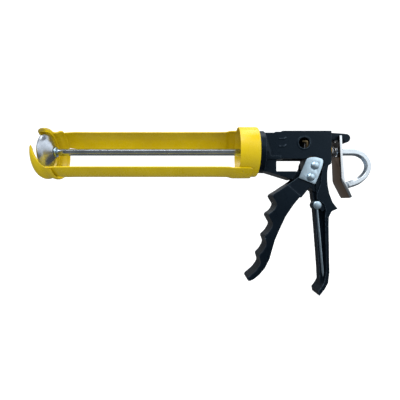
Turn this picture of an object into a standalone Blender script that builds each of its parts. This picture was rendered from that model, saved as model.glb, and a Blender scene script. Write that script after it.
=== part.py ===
"""A caulking gun for 310 ml cartridges: every piece, at rest.

Lengths are millimetres from a point on the rod axis. +X runs from the nozzle end to the rod's
hook, +Z is up, and -Y is the side with the spout cutter and the puncture pin. Angles round the
rod run from the top towards -Y.
"""

import math

import bmesh
import bpy
from mathutils import Vector

MM = 0.001
BASE_CENTRE = Vector((8.1, 0.0, -147.8))
ROUND_STEPS = 48
SMOOTH_ANGLE = math.radians(35)

# Push rod, piston and hook
ROD_FLATS = 6.2
ROD_BORE = 4.4
ROD_FRONT = -147.6
STUD_RADIUS = 2.8
STUD_FRONT = -157.0
PISTON_RADIUS = 19.0
PISTON_RIM_X = -159.6

# Cradle
STRAP_THICK = 1.35
STRAP_NEAR = (133.0, 179.0)
STRAP_FAR = (-73.0, -23.0)
STRAP_STATIONS = (
    (-155.5, 22.7, 1.5),
    (-147.2, 22.7, 1.5),
    (-144.4, 23.2, 1.1),
    (-141.0, 24.5, 0.3),
    (-137.5, 24.9, 0.0),
    (30.0, 24.9, 0.0),
    (32.0, 25.2, 0.0),
    (34.0, 25.95, 0.0),
    (36.0, 26.25, 0.0),
    (54.0, 26.25, 0.0),
)
FAR_STATIONS = ((-145.0, 24.9, 0.0),) + STRAP_STATIONS[5:]
RING_DROP = 1.5
RING_FRONT = -164.4
RING_REAR = -145.3
RING_BORE = 24.4
NOSE_BORE = 22.3
LIP_BORE = 19.2
STOP_X = -162.7
SLOT_ANGLE = 51.0
SLOT_HALF = 12.2
CUP_RIM_X = 41.3
CUP_BACK_X = 61.5
CUP_RADIUS = 25.9
CUP_WALL = 1.4
CUP_CORNER = 2.4

# Casting
FLANGE_X = (61.8, 67.8)
FLANGE_RADIUS = 21.9
SPIGOT_RADIUS = 9.5
SPIGOT_FRONT = 50.6
BODY_HALF = 10.0
BODY_TOP = 20.5
BODY_BOTTOM = -8.2
BODY_REAR = 136.0
CAVITY_X = (88.0, 126.5)
CAVITY_HALF = 7.0
CUTTER_HOLE = (108.1, 8.1)
CUTTER_RADIUS = 5.6
BLOCK_HALF = 6.9
BOSS_HALF = 7.1
THROAT_HALF = 8.2
PUNCTURE = (120.2, -55.4)
NEEDLE_LEAN = 5.2
KNOB = (153.4, 14.0)
KNOB_RADIUS = 4.5

# Trigger, about the pivot pin
PIVOT = (118.1, -15.4)
RIVET = (113.9, -27.1)
DRIVE = (117.1, -8.9)
CHEEK_RADIUS = 9.4
CHEEK_HALF = 10.7
TRIGGER_HALF = 12.0
CHANNEL_HALF = 8.6
PLATE_Y = (11.0, 12.5)
LINK_RADIUS = 6.4
HEAD_RADIUS = 3.9
BLADE_Y = (-8.3, -7.3)

# Release lever and springs
LEVER_HALF = 10.0
LEVER_THICK = 2.4
LEVER_AXIS = (147.6, 0.0, 13.0)
DRIVE_COIL = (88.9, 108.4, 5.0, 0.65, 6)
RELEASE_COIL = (138.0, 143.6, 4.9, 0.6, 3)


def collection(name):
    made = bpy.data.collections.new(name)
    bpy.context.scene.collection.children.link(made)
    return made


def clear_scene():
    for obj in list(bpy.data.objects):
        bpy.data.objects.remove(obj, do_unlink=True)


def material(name, colour, metallic, roughness):
    made = bpy.data.materials.new(name)
    made.use_nodes = True
    shader = made.node_tree.nodes["Principled BSDF"]
    shader.inputs["Base Color"].default_value = (*colour, 1.0)
    shader.inputs["Metallic"].default_value = metallic
    shader.inputs["Roughness"].default_value = roughness
    return made


def arc(centre, radius, start, end, steps):
    """Points on a circle in the XZ plane, by degrees up from +X."""
    points = []
    for i in range(steps + 1):
        turn = math.radians(start + (end - start) * i / steps)
        points.append((centre[0] + radius * math.cos(turn), centre[1] + radius * math.sin(turn)))
    return points


def flowing(points, steps):
    """The points joined by a smooth curve that passes through each of them."""
    ends = [points[0]] + points + [points[-1]]
    curve = []
    for a, b, c, d in zip(ends, ends[1:], ends[2:], ends[3:]):
        for i in range(steps):
            t = i / steps
            curve.append(
                tuple(
                    0.5 * (2 * q + (r - p) * t + (2 * p - 5 * q + 4 * r - s) * t * t
                           + (3 * q - p - 3 * r + s) * t ** 3)
                    for p, q, r, s in zip(a, b, c, d)
                )
            )
    return curve + [points[-1]]


def ease_edges(bm, width, segments):
    if not width:
        return
    bmesh.ops.recalc_face_normals(bm, faces=bm.faces)
    sharp = [e for e in bm.edges if e.calc_face_angle(0.0) > math.radians(45)]
    bmesh.ops.bevel(
        bm, geom=sharp, offset=width, segments=segments, profile=0.5, affect="EDGES",
        clamp_overlap=True,
    )


def slab(corners, along, ease=0.0, segments=2):
    """A flat outline of 3-D corners, pushed along a vector."""
    bm = bmesh.new()
    face = bm.faces.new([bm.verts.new(c) for c in corners])
    moved = bmesh.ops.extrude_face_region(bm, geom=[face])["geom"]
    verts = [v for v in moved if isinstance(v, bmesh.types.BMVert)]
    bmesh.ops.translate(bm, vec=along, verts=verts)
    ease_edges(bm, ease, segments)
    return bm


def prism(outline, y0, y1, ease=0.0, segments=2):
    """An outline of (x, z) points, solid from y0 to y1."""
    return slab([(x, y0, z) for x, z in outline], (0.0, y1 - y0, 0.0), ease, segments)


def plate(outline, x0, x1, ease=0.0):
    """An outline of (y, z) points, solid from x0 to x1."""
    return slab([(x0, y, z) for y, z in outline], (x1 - x0, 0.0, 0.0), ease)


def box(x0, x1, y0, y1, z0, z1, ease=0.0):
    return prism([(x0, z0), (x1, z0), (x1, z1), (x0, z1)], y0, y1, ease)


def turned(profile, axis="X", centre=(0.0, 0.0), steps=ROUND_STEPS, phase=0.0):
    """A closed profile of (along, radius) points turned round X, or round Y at an (x, z) centre."""
    bm = bmesh.new()
    turn = math.radians(phase)
    out = Vector((0.0, -math.sin(turn), math.cos(turn)))
    way = Vector((1.0, 0.0, 0.0))
    middle = Vector((0.0, 0.0, 0.0))
    if axis == "Y":
        out = Vector((math.sin(turn), 0.0, math.cos(turn)))
        way = Vector((0.0, 1.0, 0.0))
        middle = Vector((centre[0], 0.0, centre[1]))
    verts = [bm.verts.new(middle + way * along + out * radius) for along, radius in profile]
    edges = [bm.edges.new((a, b)) for a, b in zip(verts, verts[1:] + verts[:1])]
    bmesh.ops.spin(
        bm, geom=verts + edges, cent=middle, axis=way, angle=math.tau, steps=steps,
        use_merge=True, use_duplicate=False,
    )
    bmesh.ops.remove_doubles(bm, verts=bm.verts, dist=1e-4)
    return bm


def rod_round(radius, start, end, axis="X", centre=(0.0, 0.0), ease=0.0, steps=ROUND_STEPS):
    profile = [(start, 0.0), (start, radius - ease), (start + ease, radius)]
    profile += [(end - ease, radius), (end, radius - ease), (end, 0.0)]
    if not ease:
        profile = [(start, 0.0), (start, radius), (end, radius), (end, 0.0)]
    return turned(profile, axis, centre, steps)


def tube(inner, outer, start, end, axis="X", centre=(0.0, 0.0), steps=ROUND_STEPS, ease=0.0):
    profile = [(start, inner), (start, outer - ease), (start + ease, outer)]
    profile += [(end - ease, outer), (end, outer - ease), (end, inner)]
    if not ease:
        profile = [(start, inner), (start, outer), (end, outer), (end, inner)]
    return turned(profile, axis, centre, steps)


def loft(loops):
    """Closed loops of equal length joined in turn, with both ends filled."""
    bm = bmesh.new()
    rows = [[bm.verts.new(point) for point in loop] for loop in loops]
    for low, high in zip(rows, rows[1:]):
        for i in range(len(low)):
            j = (i + 1) % len(low)
            bm.faces.new((low[i], low[j], high[j], high[i]))
    bm.faces.new(rows[0])
    bm.faces.new(rows[-1])
    return bm


def hook_line(steps):
    """(x, z, downward turn) along the rod's axis, from its front end to the tip of the hook."""
    bend = flowing([
        (158.0, 0.0), (162.5, -0.1), (167.3, -1.0), (173.6, -4.8), (177.7, -11.6),
        (177.5, -18.9), (173.4, -25.7), (166.2, -31.1), (156.2, -34.6),
    ], steps)
    line = [(ROD_FRONT, 0.0, 0.0)]
    for before, here, after in zip([bend[0]] + bend, bend, bend[1:] + [bend[-1]]):
        turn = math.atan2(before[1] - after[1], after[0] - before[0])
        line.append((*here, turn))
    return line


def slot_corners():
    """The nozzle slot across the ring, as (y, z) points."""
    turn = math.radians(SLOT_ANGLE)
    out = Vector((-math.sin(turn), math.cos(turn)))
    side = Vector((math.cos(turn), math.sin(turn))) * SLOT_HALF
    middle = Vector((0.0, -RING_DROP))
    return [middle + way for way in (side, -side, out * 34.0 - side, out * 34.0 + side)]


def mouth_outline():
    """The gap behind the ring's lip through which a cartridge is loaded, as (x, z) points."""
    return [
        (-161.5, 17.0), (-161.5, 1.0), (-160.2, -3.6), (-158.2, -8.4), (-155.9, -12.6),
        (-153.0, -16.4), (-149.6, -18.6), (-142.0, -19.6), (-142.0, 17.0),
    ]


def body_outline():
    return [
        (67.0, BODY_BOTTOM), (67.0, BODY_TOP - 1.9), (78.0, BODY_TOP - 1.9),
        (78.6, BODY_TOP - 1.0), (85.0, BODY_TOP - 1.0), (85.6, BODY_TOP), (BODY_REAR, BODY_TOP),
        (BODY_REAR, -13.0), (126.0, -13.0), (126.0, BODY_BOTTOM),
    ]


def web_outline():
    return [
        (66.5, -21.2), (66.5, -7.4), (80.0, -7.4), (80.0, -20.8), (101.2, -20.8),
        (96.4, -29.2), (71.0, -21.3),
    ]


def wedge_loops(side):
    """The sloping facet between the flange and the body, on one side."""
    foot = [(66.8, 9.4), (74.0, 9.4), (74.0, 10.1), (67.6, 12.6), (66.8, 12.6)]
    head = [(66.8, 9.4), (69.0, 9.4), (69.0, 10.1), (67.6, 10.6), (66.8, 10.6)]
    return [
        [(x, side * y, -1.0) for x, y in foot],
        [(x, side * y, 16.2) for x, y in head],
    ]


def ledge_outline():
    return [(66.6, -8.9), (66.6, -1.2), (73.4, -1.2), (73.9, -5.2), (84.2, -5.2), (84.2, -8.9)]


def mark_outline(drop):
    return [
        (82.6, 12.5 - drop), (82.6, 11.6 - drop), (88.1, 11.6 - drop), (89.9, 13.3 - drop),
        (89.2, 14.0 - drop), (87.7, 12.5 - drop),
    ]


def block_outline():
    return [
        (95.0, -21.0), (111.0, -21.0), (113.5, -17.2), (129.0, -17.2), (129.0, -44.0),
        (119.0, -41.0), (112.0, -34.0), (97.0, -28.6),
    ]


def throat_outline():
    """The solid part of the handle between the block and the puncture pin's rivet."""
    return [
        (120.4, -26.0), (130.5, -26.0), (131.0, -38.0), (134.5, -50.0), (132.0, -58.0),
        (127.0, -62.0), (123.4, -56.0), (121.0, -47.0),
    ]


def grip_rear_outline():
    """The neck, the hand's horn, the handle's rear flange and its foot."""
    return [
        (128.3, -11.5), (135.5, -11.5), (135.2, -13.6), (132.9, -14.9), (131.9, -20.0),
        (131.7, -28.0), (132.1, -35.0), (133.9, -44.1), (137.2, -52.6), (142.3, -59.0),
        (136.2, -61.8), (133.4, -67.4), (133.1, -74.0), (133.5, -100.6), (133.9, -123.8),
        (132.6, -134.7), (129.0, -141.2), (123.6, -147.9), (122.6, -143.0), (125.8, -139.0),
        (128.6, -134.0), (130.4, -123.8), (130.2, -100.6), (129.5, -68.0), (130.3, -60.0),
        (128.6, -54.6), (125.0, -51.4), (121.4, -49.6), (120.9, -45.0), (122.6, -40.0),
        (124.9, -33.7), (126.4, -20.3), (128.4, -15.7),
    ]


def grip_front_outline():
    return [
        (118.0, -39.5), (120.4, -54.0), (122.4, -78.0), (124.0, -99.0), (125.5, -120.0),
        (126.4, -137.5), (130.5, -134.0), (130.2, -120.0), (127.8, -99.0), (126.0, -78.0),
        (124.2, -54.0), (122.5, -41.5),
    ]


def grip_core_outline():
    return [
        (119.0, -39.0), (121.4, -54.0), (123.4, -78.0), (125.0, -99.0), (126.6, -120.0),
        (127.4, -136.0), (131.0, -133.0), (131.8, -123.8), (131.5, -100.6), (131.0, -68.0),
        (131.5, -60.0), (129.0, -48.0), (129.0, -39.0),
    ]


def arm_outline():
    return [(134.5, 12.0), (134.5, 19.8), (152.5, 18.6), (153.4, 14.0), (149.5, 11.6)]


def trigger_outline(steps):
    fingers = flowing([
        (90.9, -34.7), (84.0, -39.5), (75.9, -45.0), (77.6, -50.0), (79.8, -54.7),
        (76.6, -60.5), (71.6, -64.8), (73.6, -70.0), (75.8, -74.9), (72.4, -81.6),
        (67.6, -86.9), (68.6, -91.0), (69.2, -95.0), (66.0, -101.4), (61.9, -106.3),
        (62.6, -110.4), (63.2, -114.4), (59.5, -120.5), (54.0, -125.8), (50.7, -128.6),
        (50.0, -130.6), (50.9, -132.1),
    ], steps)
    rear = [
        (52.6, -132.3), (56.4, -130.5), (61.8, -126.2), (67.8, -119.2), (72.6, -109.7),
        (75.0, -101.0), (77.9, -91.0), (82.5, -80.2), (88.7, -67.0), (96.5, -55.4),
        (104.1, -46.2),
    ]
    return fingers + rear


def cheek_outline(steps):
    return arc(PIVOT, CHEEK_RADIUS, 184, 40, steps) + [
        (124.0, -20.0), (117.0, -34.0), (110.7, -40.8), (105.0, -48.0), (90.0, -42.0),
        (88.4, -36.6), (97.6, -30.0), (104.8, -24.6),
    ]


def channel_outline():
    return [
        (97.0, -25.0), (94.0, -31.5), (92.8, -37.0), (84.5, -48.0), (83.4, -55.0),
        (79.4, -75.0), (72.8, -95.5), (68.6, -109.0), (66.6, -117.5), (90.0, -127.0),
        (140.0, -60.0), (140.0, 0.0), (100.0, 0.0),
    ]


def link_outline(steps):
    return flowing([
        (101.8, -27.8), (105.2, -20.0), (108.9, -10.9), (110.4, -8.5), (113.4, -7.2),
        (118.1, -6.9), (122.6, -7.9), (125.3, -9.0), (126.2, -10.8), (125.7, -14.6),
        (123.9, -20.4), (121.0, -27.6), (118.6, -33.2), (117.2, -34.1),
    ], steps)


def far_link_outline(steps):
    """A plain rounded link round the pivot pin and the rivet."""
    return arc(PIVOT, LINK_RADIUS, 160, -20, steps) + arc(RIVET, LINK_RADIUS, -20, -200, steps)


def blade_outline():
    """The blade's hub on the pivot pin and its T-shaped cutting head."""
    return [
        (113.2, -18.2), (122.0, -19.0), (123.4, -12.0), (120.4, -5.0), (115.0, 0.5),
        (112.8, 4.2), (112.8, 8.7), (113.8, 8.9), (113.8, 10.8), (106.8, 10.5), (106.8, 9.1),
        (110.4, 8.8), (110.4, 3.8), (112.2, -2.0), (113.0, -7.0),
    ]


def to_mesh(name, bm, pivot):
    bmesh.ops.recalc_face_normals(bm, faces=bm.faces)
    for vert in bm.verts:
        vert.co = (vert.co - Vector(pivot)) * MM
    mesh = bpy.data.meshes.new(name)
    bm.to_mesh(mesh)
    bm.free()
    for polygon in mesh.polygons:
        polygon.use_smooth = True
    mesh.set_sharp_from_angle(angle=SMOOTH_ANGLE)
    return mesh


def piece(name, bm, look, pivot=(0.0, 0.0, 0.0)):
    """One sub-part, with its origin on the axis it turns or slides on."""
    obj = bpy.data.objects.new(name, to_mesh(name, bm, pivot))
    obj.location = (Vector(pivot) - BASE_CENTRE) * MM
    obj.data.materials.append(look)
    PARTS.objects.link(obj)
    return obj


def combine(obj, bm, operation):
    tool = bpy.data.objects.new(f"{obj.name}_tool", to_mesh(obj.name, bm, (0.0, 0.0, 0.0)))
    tool.location = -BASE_CENTRE * MM
    tool.hide_render = True
    tool.display_type = "WIRE"
    CUTTERS.objects.link(tool)
    modifier = obj.modifiers.new(operation.title(), "BOOLEAN")
    modifier.operation = operation
    modifier.solver = "EXACT"
    modifier.object = tool


def cut(obj, bm):
    combine(obj, bm, "DIFFERENCE")


def unite(obj, bm):
    combine(obj, bm, "UNION")


def drill(obj, radius, at, y0, y1):
    cut(obj, rod_round(radius, y0, y1, "Y", at, steps=32))


def make_front_ring(look):
    profile = [
        (RING_FRONT, LIP_BORE), (RING_FRONT, 22.6), (-163.9, 23.8), (-162.8, 24.9),
        (-161.2, 26.0), (-159.4, 26.6), (-157.8, 26.6), (-155.8, 26.0), (-153.6, 25.75),
        (-151.6, 26.0), (-149.6, 26.8), (-147.8, 27.1), (-146.4, 27.0), (RING_REAR, 26.5),
        (RING_REAR, 25.4), (-147.6, 25.6), (-149.8, 25.2), (-151.6, RING_BORE),
        (-156.6, RING_BORE), (-156.8, NOSE_BORE), (STOP_X, NOSE_BORE), (STOP_X, 20.75),
        (STOP_X - 0.1, 20.65), (STOP_X - 0.1, LIP_BORE),
    ]
    pivot = (0.0, 0.0, -RING_DROP)
    bm = turned(profile, steps=64)
    bmesh.ops.translate(bm, vec=pivot, verts=bm.verts)
    ring = piece("front_ring", bm, look)
    cut(ring, plate(slot_corners(), -170.0, -140.0))
    cut(ring, prism(mouth_outline(), -40.0, -5.0))
    cut(ring, box(-156.3, -142.0, -30.0, 7.7, 12.0, 40.0))


def make_strap(name, span, stations, look):
    steps = 10
    loops = []
    for x, inner, drop in stations:
        loop = []
        for radius, way in ((inner, 1), (inner + STRAP_THICK, -1)):
            for i in range(steps + 1)[::way]:
                turn = math.radians(span[0] + (span[1] - span[0]) * i / steps)
                loop.append((x, -radius * math.sin(turn), radius * math.cos(turn) - drop))
        loops.append(loop)
    piece(name, loft(loops), look)


def make_rear_cup(look):
    flat = CUP_BACK_X - CUP_CORNER
    outer = arc((flat, CUP_RADIUS - CUP_CORNER), CUP_CORNER, 90, 0, 6)
    inner = arc((flat, CUP_RADIUS - CUP_CORNER), CUP_CORNER - CUP_WALL, 0, 90, 5)
    profile = [(CUP_RIM_X, CUP_RADIUS)] + outer
    seat = CUP_BACK_X - CUP_WALL
    profile += [(CUP_BACK_X, SPIGOT_RADIUS + 0.3), (seat + 0.1, SPIGOT_RADIUS + 0.3)]
    profile += [(seat + 0.1, 16.7), (seat, 16.8)]
    profile += inner + [(CUP_RIM_X, CUP_RADIUS - CUP_WALL)]
    piece("rear_cup", turned(profile, steps=64), look)


def make_push_rod(look):
    corner = ROD_FLATS / math.sqrt(3)
    loops = []
    for x, z, turn in hook_line(3):
        loop = []
        for k in range(6):
            side = math.radians(60 * k)
            up = corner * math.cos(side)
            loop.append((
                x + up * math.sin(turn), corner * math.sin(side), z + up * math.cos(turn)
            ))
        loops.append(loop)
    rod = piece("push_rod", loft(loops), look)
    unite(rod, rod_round(STUD_RADIUS, STUD_FRONT, ROD_FRONT + 2.0, ease=0.4))


def make_piston(look, nut_look):
    profile = [
        (PISTON_RIM_X, PISTON_RADIUS - 1.1), (PISTON_RIM_X - 0.3, PISTON_RADIUS - 0.5),
        (PISTON_RIM_X, PISTON_RADIUS), (PISTON_RIM_X + 1.3, PISTON_RADIUS), (-150.4, 6.2),
        (-149.9, 5.4), (-149.9, STUD_RADIUS + 0.3), (-151.4, STUD_RADIUS + 0.3),
        (-151.7, 5.8),
    ]
    piece("piston", turned(profile, steps=64), look)
    piece("piston_washer", tube(STUD_RADIUS + 0.3, 5.2, -149.6, -147.9, ease=0.3), nut_look)
    nut = piece("piston_nut", turned(
        [(-156.1, 0.0), (-156.1, 5.4), (-155.5, 6.1), (-152.5, 6.1), (-152.5, 0.0)], steps=6
    ), nut_look)
    cut(nut, rod_round(STUD_RADIUS + 0.3, -160.0, -148.0))


def make_cradle_fixings(look):
    piece("cradle_washer", tube(SPIGOT_RADIUS + 0.3, 16.0, 58.4, 59.8, ease=0.3), look)
    nut = piece("cradle_nut", turned(
        [(51.3, 0.0), (51.3, 13.6), (52.3, 15.0), (58.1, 15.0), (58.1, 0.0)], steps=6
    ), look)
    cut(nut, rod_round(SPIGOT_RADIUS + 0.3, 50.0, 60.0))


def make_housing(look):
    housing = piece("housing", prism(body_outline(), -BODY_HALF, BODY_HALF, 0.8), look)
    cut(housing, box(*CAVITY_X, -CAVITY_HALF, CAVITY_HALF, -16.0, 15.0))
    cut(housing, box(97.0, 122.0, -8.6, -6.5, -17.0, 15.3))
    cut(housing, rod_round(CHEEK_RADIUS + 0.6, -20.0, 20.0, "Y", PIVOT))
    flange = [
        (SPIGOT_FRONT, 0.0), (SPIGOT_FRONT, SPIGOT_RADIUS - 0.6),
        (SPIGOT_FRONT + 0.6, SPIGOT_RADIUS), (FLANGE_X[0], SPIGOT_RADIUS),
        (FLANGE_X[0], FLANGE_RADIUS - 0.6), (FLANGE_X[0] + 0.6, FLANGE_RADIUS),
        (FLANGE_X[1] - 0.6, FLANGE_RADIUS), (FLANGE_X[1], FLANGE_RADIUS - 0.6),
        (FLANGE_X[1], 0.0),
    ]
    unite(housing, turned(flange, steps=64))
    unite(housing, prism(web_outline(), -9.8, 9.8, 0.5))
    for side in (-1, 1):
        unite(housing, loft(wedge_loops(side)))
    unite(housing, prism(ledge_outline(), -10.7, 10.7, 0.3, 1))
    for drop in (0.0, 7.6):
        unite(housing, prism(mark_outline(drop), -10.45, -9.0))
    unite(housing, prism(block_outline(), -BLOCK_HALF, BLOCK_HALF))
    unite(housing, rod_round(4.2, -BOSS_HALF, BOSS_HALF, "Y", PIVOT, steps=32))
    unite(housing, prism(throat_outline(), -THROAT_HALF, THROAT_HALF))
    unite(housing, prism(grip_rear_outline(), -9.95, 9.95))
    unite(housing, prism(grip_front_outline(), -4.5, 4.5))
    unite(housing, prism(grip_core_outline(), -2.5, 2.5))
    unite(housing, prism(arm_outline(), -5.0, 5.0, 0.4))
    unite(housing, rod_round(KNOB_RADIUS, -5.2, 5.2, "Y", KNOB, 0.6, 32))
    unite(housing, rod_round(CUTTER_RADIUS + 1.6, -10.4, -9.5, "Y", CUTTER_HOLE, 0.3))
    unite(housing, rod_round(4.3, -9.85, -3.1, "Y", PUNCTURE, steps=32))
    cut(housing, rod_round(ROD_BORE, 45.0, 140.0, steps=32))
    cut(housing, rod_round(7.9, 130.2, 138.0))
    drill(housing, CUTTER_RADIUS, CUTTER_HOLE, -12.0, -6.0)
    drill(housing, 2.9, PIVOT, -9.0, 9.0)
    drill(housing, 1.9, PUNCTURE, -11.0, 0.5)


def make_trigger(look):
    pivot = (PIVOT[0], 0.0, PIVOT[1])
    trigger = piece(
        "trigger", prism(trigger_outline(4), -TRIGGER_HALF, TRIGGER_HALF, 0.9), look, pivot
    )
    unite(trigger, prism(cheek_outline(12), -CHEEK_HALF, CHEEK_HALF))
    cut(trigger, prism(channel_outline(), -CHANNEL_HALF, CHANNEL_HALF))
    drill(trigger, 2.9, PIVOT, -14.0, 14.0)
    drill(trigger, 2.3, RIVET, -14.0, 14.0)
    drill(trigger, 2.3, DRIVE, -14.0, 14.0)


def make_links(look, rivet_look):
    pivot = (PIVOT[0], 0.0, PIVOT[1])
    shapes = ((-1, "near", link_outline(2)), (1, "far", far_link_outline(8)))
    for side, word, outline in shapes:
        y0, y1 = sorted((side * PLATE_Y[0], side * PLATE_Y[1]))
        link = piece(f"link_plate_{word}", prism(outline, y0, y1, 0.25, 1), look, pivot)
        drill(link, 2.9, PIVOT, -14.0, 14.0)
        drill(link, 2.3, RIVET, -14.0, 14.0)
        profile = [
            (8.9, 0.0), (8.9, 2.0), (12.8, 2.0), (12.8, HEAD_RADIUS), (13.5, HEAD_RADIUS),
            (14.4, HEAD_RADIUS * 0.72), (14.9, HEAD_RADIUS * 0.3), (15.0, 0.0),
        ]
        profile = [(side * along, radius) for along, radius in profile]
        piece(f"link_rivet_{word}", turned(profile, "Y", RIVET, 32), rivet_look, pivot)


def make_pins(look, rivet_look):
    half = [
        (12.8, 2.6), (12.8, HEAD_RADIUS), (13.5, HEAD_RADIUS), (14.4, HEAD_RADIUS * 0.72),
        (14.9, HEAD_RADIUS * 0.3), (15.0, 0.0),
    ]
    back = [(-along, radius) for along, radius in reversed(half)]
    pivot = (PIVOT[0], 0.0, PIVOT[1])
    piece("pivot_pin", turned(back + half, "Y", PIVOT, 32), look, pivot)
    rivet = [
        (0.2, 0.0), (0.2, 1.6), (-12.5, 1.6), (-12.5, 4.1), (-13.1, 4.1), (-13.8, 3.2),
        (-14.0, 0.0),
    ]
    pivot = (PUNCTURE[0], 0.0, PUNCTURE[1])
    piece("puncture_rivet", turned(rivet, "Y", PUNCTURE, 32), rivet_look, pivot)


def make_drive(look, blade_look, plate_look):
    pivot = (PIVOT[0], 0.0, PIVOT[1])
    piece("drive_pin", rod_round(2.0, -10.5, 10.5, "Y", DRIVE, 0.3, 24), look, pivot)
    made = piece("cutter_blade", prism(blade_outline(), *BLADE_Y), blade_look, pivot)
    drill(made, 2.9, PIVOT, -14.0, 14.0)
    drill(made, 2.3, DRIVE, -14.0, 14.0)
    for name, x, low in (("grip_plate_front", 109.3, -18.4), ("grip_plate_rear", 112.2, -12.0)):
        grip = piece(name, box(x, x + 2.5, -6.6, 6.6, low, 9.0, 0.3), plate_look)
        cut(grip, rod_round(ROD_BORE, 100.0, 120.0, steps=32))


def make_release_lever(look):
    half = LEVER_THICK / 2
    side = [
        (145.2 - half, 15.6), (145.2 + half, 15.6), (147.0 + half, -30.6),
        (156.9, -47.0), (154.8, -48.2), (147.0 - half, -31.4),
    ]
    lever = piece("release_lever", prism(side, -LEVER_HALF, LEVER_HALF, 0.3, 1), look, LEVER_AXIS)
    cut(lever, box(140.0, 150.0, -5.5, 5.5, 10.5, 20.0))
    cut(lever, rod_round(4.8, 140.0, 152.0, steps=32))


def make_puncture_pin(look):
    x, z = PUNCTURE
    axis = (x, 0.0, z)
    pin = piece("puncture_pin", tube(1.9, 3.7, -12.2, -10.3, "Y", PUNCTURE, 32), look, axis)
    lean = math.radians(NEEDLE_LEAN)
    loops = []
    for along, radius in ((2.8, 1.0), (68.0, 1.0), (72.4, 0.15)):
        loop = []
        for i in range(12):
            turn = math.tau * i / 12
            across = radius * math.cos(turn)
            loop.append((
                x + along * math.sin(lean) + across * math.cos(lean),
                -11.25 + radius * math.sin(turn),
                z - along * math.cos(lean) + across * math.sin(lean),
            ))
        loops.append(loop)
    unite(pin, loft(loops))


def make_coil(name, spec, look):
    """An open coil round the rod, with a flat turn at each end."""
    start, end, radius, wire, turns = spec
    per_turn = 16
    count = turns * per_turn
    curve = bpy.data.curves.new(name, "CURVE")
    curve.dimensions = "3D"
    curve.bevel_depth = wire * MM
    curve.bevel_resolution = 2
    curve.use_fill_caps = True
    line = curve.splines.new("POLY")
    line.points.add(count)
    tuck = 2.1 * wire
    pitch = (end - start - 2 * tuck) / (turns - 2)
    x = start
    for i in range(count + 1):
        turn = math.tau * i / per_turn
        line.points[i].co = (
            x * MM, -radius * MM * math.sin(turn), radius * MM * math.cos(turn), 1.0
        )
        flat = i < per_turn or i >= count - per_turn
        x += (tuck if flat else pitch) / per_turn
    obj = bpy.data.objects.new(name, curve)
    obj.location = -BASE_CENTRE * MM
    curve.materials.append(look)
    PARTS.objects.link(obj)


clear_scene()
PARTS = collection("caulking_gun")
CUTTERS = collection("cutters")

yellow = material("yellow_enamel", (0.62, 0.46, 0.02), 0.0, 0.35)
black = material("black_casting", (0.012, 0.015, 0.02), 0.0, 0.5)
zinc = material("zinc_plate", (0.55, 0.58, 0.62), 1.0, 0.35)
chrome = material("bright_steel", (0.75, 0.75, 0.76), 1.0, 0.15)
brass = material("brass", (0.72, 0.5, 0.18), 1.0, 0.3)
spring = material("spring_steel", (0.45, 0.46, 0.48), 1.0, 0.3)
hard = material("hardened_steel", (0.3, 0.3, 0.31), 1.0, 0.4)
tool = material("blade_steel", (0.66, 0.55, 0.33), 1.0, 0.25)

make_front_ring(yellow)
make_strap("strap_near", STRAP_NEAR, STRAP_STATIONS, yellow)
make_strap("strap_far", STRAP_FAR, FAR_STATIONS, yellow)
make_rear_cup(yellow)
make_push_rod(chrome)
make_piston(chrome, zinc)
make_cradle_fixings(zinc)
make_housing(black)
piece("rear_bush", turned([
    (130.5, ROD_BORE), (130.5, 7.6), (136.3, 7.6), (136.3, 8.8), (137.2, 8.8), (137.2, ROD_BORE)
]), brass)
make_trigger(black)
make_links(zinc, zinc)
make_pins(zinc, zinc)
make_drive(hard, tool, hard)
make_release_lever(zinc)
make_puncture_pin(zinc)
make_coil("drive_spring", DRIVE_COIL, spring)
make_coil("release_spring", RELEASE_COIL, spring)
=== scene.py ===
"""Looks of the caulking gun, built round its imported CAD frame.

Shapes are drawn in millimetres from a point on the rod's axis, and to_object() places them in
the part's own frame by BASE_CENTRE. +X runs to the rod's hook, +Z is up, -Y is the cutter side.
"""

import math

import bmesh
import bpy
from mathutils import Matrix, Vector


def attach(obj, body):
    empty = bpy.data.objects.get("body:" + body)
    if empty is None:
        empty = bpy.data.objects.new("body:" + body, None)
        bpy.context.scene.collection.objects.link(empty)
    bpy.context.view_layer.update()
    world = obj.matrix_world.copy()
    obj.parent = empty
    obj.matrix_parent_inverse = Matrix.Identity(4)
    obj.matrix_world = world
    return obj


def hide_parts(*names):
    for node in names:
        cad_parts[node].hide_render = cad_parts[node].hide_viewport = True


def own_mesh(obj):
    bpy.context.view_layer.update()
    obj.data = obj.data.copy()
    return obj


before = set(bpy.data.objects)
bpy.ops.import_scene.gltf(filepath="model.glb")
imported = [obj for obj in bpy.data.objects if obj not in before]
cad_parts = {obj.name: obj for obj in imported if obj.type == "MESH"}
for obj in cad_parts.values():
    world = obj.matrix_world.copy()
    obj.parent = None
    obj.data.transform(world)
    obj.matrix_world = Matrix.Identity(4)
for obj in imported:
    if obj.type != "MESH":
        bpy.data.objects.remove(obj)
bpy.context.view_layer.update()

MM = 0.001
BASE_CENTRE = Vector((8.1, 0.0, -147.8))
ROUND_STEPS = 48

# Push rod, piston and hook
ROD_FLATS = 6.2
ROD_BORE = 4.4
ROD_FRONT = -147.6
STUD_RADIUS = 2.8
STUD_FRONT = -157.0
PISTON_RADIUS = 19.0
PISTON_RIM_X = -159.6

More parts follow.
